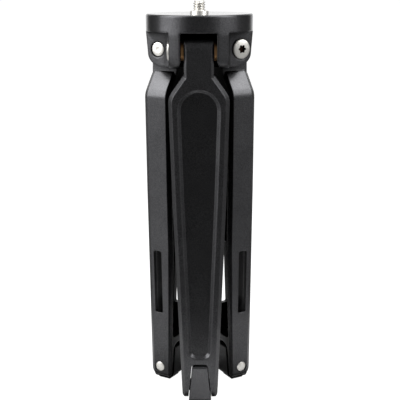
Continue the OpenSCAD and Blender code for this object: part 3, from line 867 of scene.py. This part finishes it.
def room_level(tree, way):
    """How bright the room looks in a direction, read from ROOM by the direction's bearing."""
    parts = add(tree, "ShaderNodeSeparateXYZ", {0: way})
    back = add(tree, "ShaderNodeMath", {0: parts.outputs[1], 1: -1.0}, operation="MULTIPLY")
    bearing = add(tree, "ShaderNodeMath", {0: parts.outputs[0], 1: back.outputs[0]}, operation="ARCTAN2")
    place = add(tree, "ShaderNodeMapRange", {"Value": bearing.outputs[0]}, From_Min=-math.pi,
                From_Max=math.pi)
    ramp = add(tree, "ShaderNodeValToRGB", {0: place.outputs[0]})
    ramp.color_ramp.interpolation = "EASE"
    stops = ramp.color_ramp.elements
    for degrees, _ in ROOM[1:-1]:
        stops.new(degrees / 360 + 0.5)
    for stop, (degrees, level) in zip(stops, ROOM):
        stop.position = degrees / 360 + 0.5
        stop.color = (level, level, level, 1)
    return ramp.outputs[0]


class BuildStage(bpy.types.Operator):
    """Stage: a white floor, a white surround, soft lamps and the camera."""

    bl_idname = "tripod.stage"
    bl_label = "Stage"

    def execute(self, context):
        self.floor()
        self.surround(context.scene)
        for lamp in LAMPS:
            soft_box(*lamp)
        self.camera(context.scene)
        context.scene.view_settings.view_transform = "Standard"
        return {"FINISHED"}

    def floor(self):
        """Paper: white to the camera, and to metal lit near the tripod and as dim as the room beyond."""
        mesh = bpy.data.meshes.new("floor")
        corners = [(x * PAPER_REACH, y * PAPER_REACH, 0) for x, y in ((-1, -1), (1, -1), (1, 1), (-1, 1))]
        mesh.from_pydata(corners, [], [(0, 1, 2, 3)])
        floor = linked("floor", mesh)
        material, tree, out = blank("white paper sweep")
        shown, camera, glossy = ray_kinds(tree)
        place = add(tree, "ShaderNodeTexCoord").outputs["Object"]
        fibre = add(tree, "ShaderNodeTexNoise", {"Vector": place}, Scale=1 / PAPER_FIBRE, Detail=2.0)
        dark, light = (linear(code) for code in PAPER_SHADES)
        shade = add(tree, "ShaderNodeMix", {"Factor": fibre.outputs["Fac"], 6: dark, 7: light},
                    data_type="RGBA").outputs[2]
        # Metal sees the paper near the tripod as the lamps light it, with the shadow between the legs
        away = add(tree, "ShaderNodeVectorMath", {0: place}, operation="LENGTH").outputs["Value"]
        near = add(tree, "ShaderNodeMapRange", {"Value": away}, interpolation_type="SMOOTHSTEP",
                   To_Min=PAPER_LEVEL, To_Max=0.0, **PAPER_FADE).outputs[0]
        lit = add(tree, "ShaderNodeMix", {"Factor": glossy, 6: shade, 7: near}, data_type="RGBA").outputs[2]
        paper = add(tree, "ShaderNodeBsdfDiffuse", {"Color": lit})
        far = add(tree, "ShaderNodeMapRange", {"Value": away}, interpolation_type="SMOOTHSTEP",
                  **PAPER_FADE).outputs[0]
        level = add(tree, "ShaderNodeMath", {0: room_level(tree, place), 1: far}, operation="MULTIPLY")
        seen = add(tree, "ShaderNodeMath", {0: level.outputs[0], 1: camera}, operation="MAXIMUM")
        glow = add(tree, "ShaderNodeMath", {0: shown, 1: seen.outputs[0]}, operation="MULTIPLY")
        shine = add(tree, "ShaderNodeEmission", {"Strength": glow.outputs[0]})
        both = add(tree, "ShaderNodeAddShader", {0: paper.outputs[0], 1: shine.outputs[0]})
        tree.links.new(both.outputs[0], out.inputs[0])
        mesh.materials.append(material)

    def surround(self, scene):
        """Sky: white to the camera, as bright as the room to metal, and otherwise a faint fill."""
        world = bpy.data.worlds.new("white surround")
        scene.world = world
        world.use_nodes = True
        tree = world.node_tree
        tree.nodes.clear()
        shown, camera, _ = ray_kinds(tree)
        room = room_level(tree, add(tree, "ShaderNodeTexCoord").outputs["Generated"])
        seen = add(tree, "ShaderNodeMath", {0: room, 1: camera}, operation="MAXIMUM").outputs[0]
        level = add(tree, "ShaderNodeMix", {"Factor": shown, "A": FILL, "B": seen}, data_type="FLOAT")
        sky = add(tree, "ShaderNodeBackground", {"Strength": level.outputs[0]}, Color=(1, 1, 1, 1))
        out = tree.nodes.new("ShaderNodeOutputWorld")
        tree.links.new(sky.outputs[0], out.inputs[0])

    def camera(self, scene):
        """Camera on a circle round the hub's axis, which looks back at the axis and down by its tilt."""
        stage = scene.tripod_stage
        data = bpy.data.cameras.new("camera")
        data.sensor_width = 36.0
        data.lens = stage.lens
        data.clip_start = 0.01
        scene.camera = linked("camera", data)
        across, back = math.sin(stage.bearing), math.cos(stage.bearing)
        flat = math.cos(stage.tilt)
        scene.camera.location = (stage.distance * across, -stage.distance * back, stage.height)
        look = Vector((-across * flat, back * flat, -math.sin(stage.tilt)))
        turn = (-look).to_track_quat("Z", "Y").to_matrix().to_4x4()
        scene.camera.rotation_euler = (turn @ Matrix.Rotation(stage.roll, 4, "Z")).to_euler()


PIECES = (BuildHub, BuildLegs, BuildFeet, BuildStud, BuildHingePins, BuildWashers, BuildRivets,
          BuildLockScrew, BuildStage)


class TripodPanel(bpy.types.Panel):
    """Sidebar panel with the settings and one button for each group of pieces and for the stage."""

    bl_idname = "VIEW3D_PT_mini_tripod"
    bl_label = "Mini tripod"
    bl_space_type = "VIEW_3D"
    bl_region_type = "UI"
    bl_category = "Mini tripod"

    def draw(self, context):
        for group in ("tripod_sizes", "tripod_looks", "tripod_stage"):
            owner = getattr(context.scene, group)
            for key in owner.bl_rna.properties.keys():
                if key not in ("rna_type", "name"):
                    self.layout.prop(owner, key)
        for piece in PIECES:
            self.layout.operator(piece.bl_idname)


CLASSES = (TripodSizes, TripodLooks, TripodStage) + PIECES + (TripodPanel,)


def register():
    """Registers the classes and hangs the settings on the scene."""
    for item in CLASSES:
        bpy.utils.register_class(item)
    bpy.types.Scene.tripod_sizes = bpy.props.PointerProperty(type=TripodSizes)
    bpy.types.Scene.tripod_looks = bpy.props.PointerProperty(type=TripodLooks)
    bpy.types.Scene.tripod_stage = bpy.props.PointerProperty(type=TripodStage)


def unregister():
    """Takes the settings and the classes away again."""
    del bpy.types.Scene.tripod_stage, bpy.types.Scene.tripod_looks, bpy.types.Scene.tripod_sizes
    for item in reversed(CLASSES):
        bpy.utils.unregister_class(item)


def main():
    register()
    make_finishes(bpy.context.scene.tripod_sizes, bpy.context.scene.tripod_looks)
    for piece in PIECES:
        group, _, name = piece.bl_idname.partition(".")
        getattr(getattr(bpy.ops, group), name)()


if __name__ == "__main__":
    main()
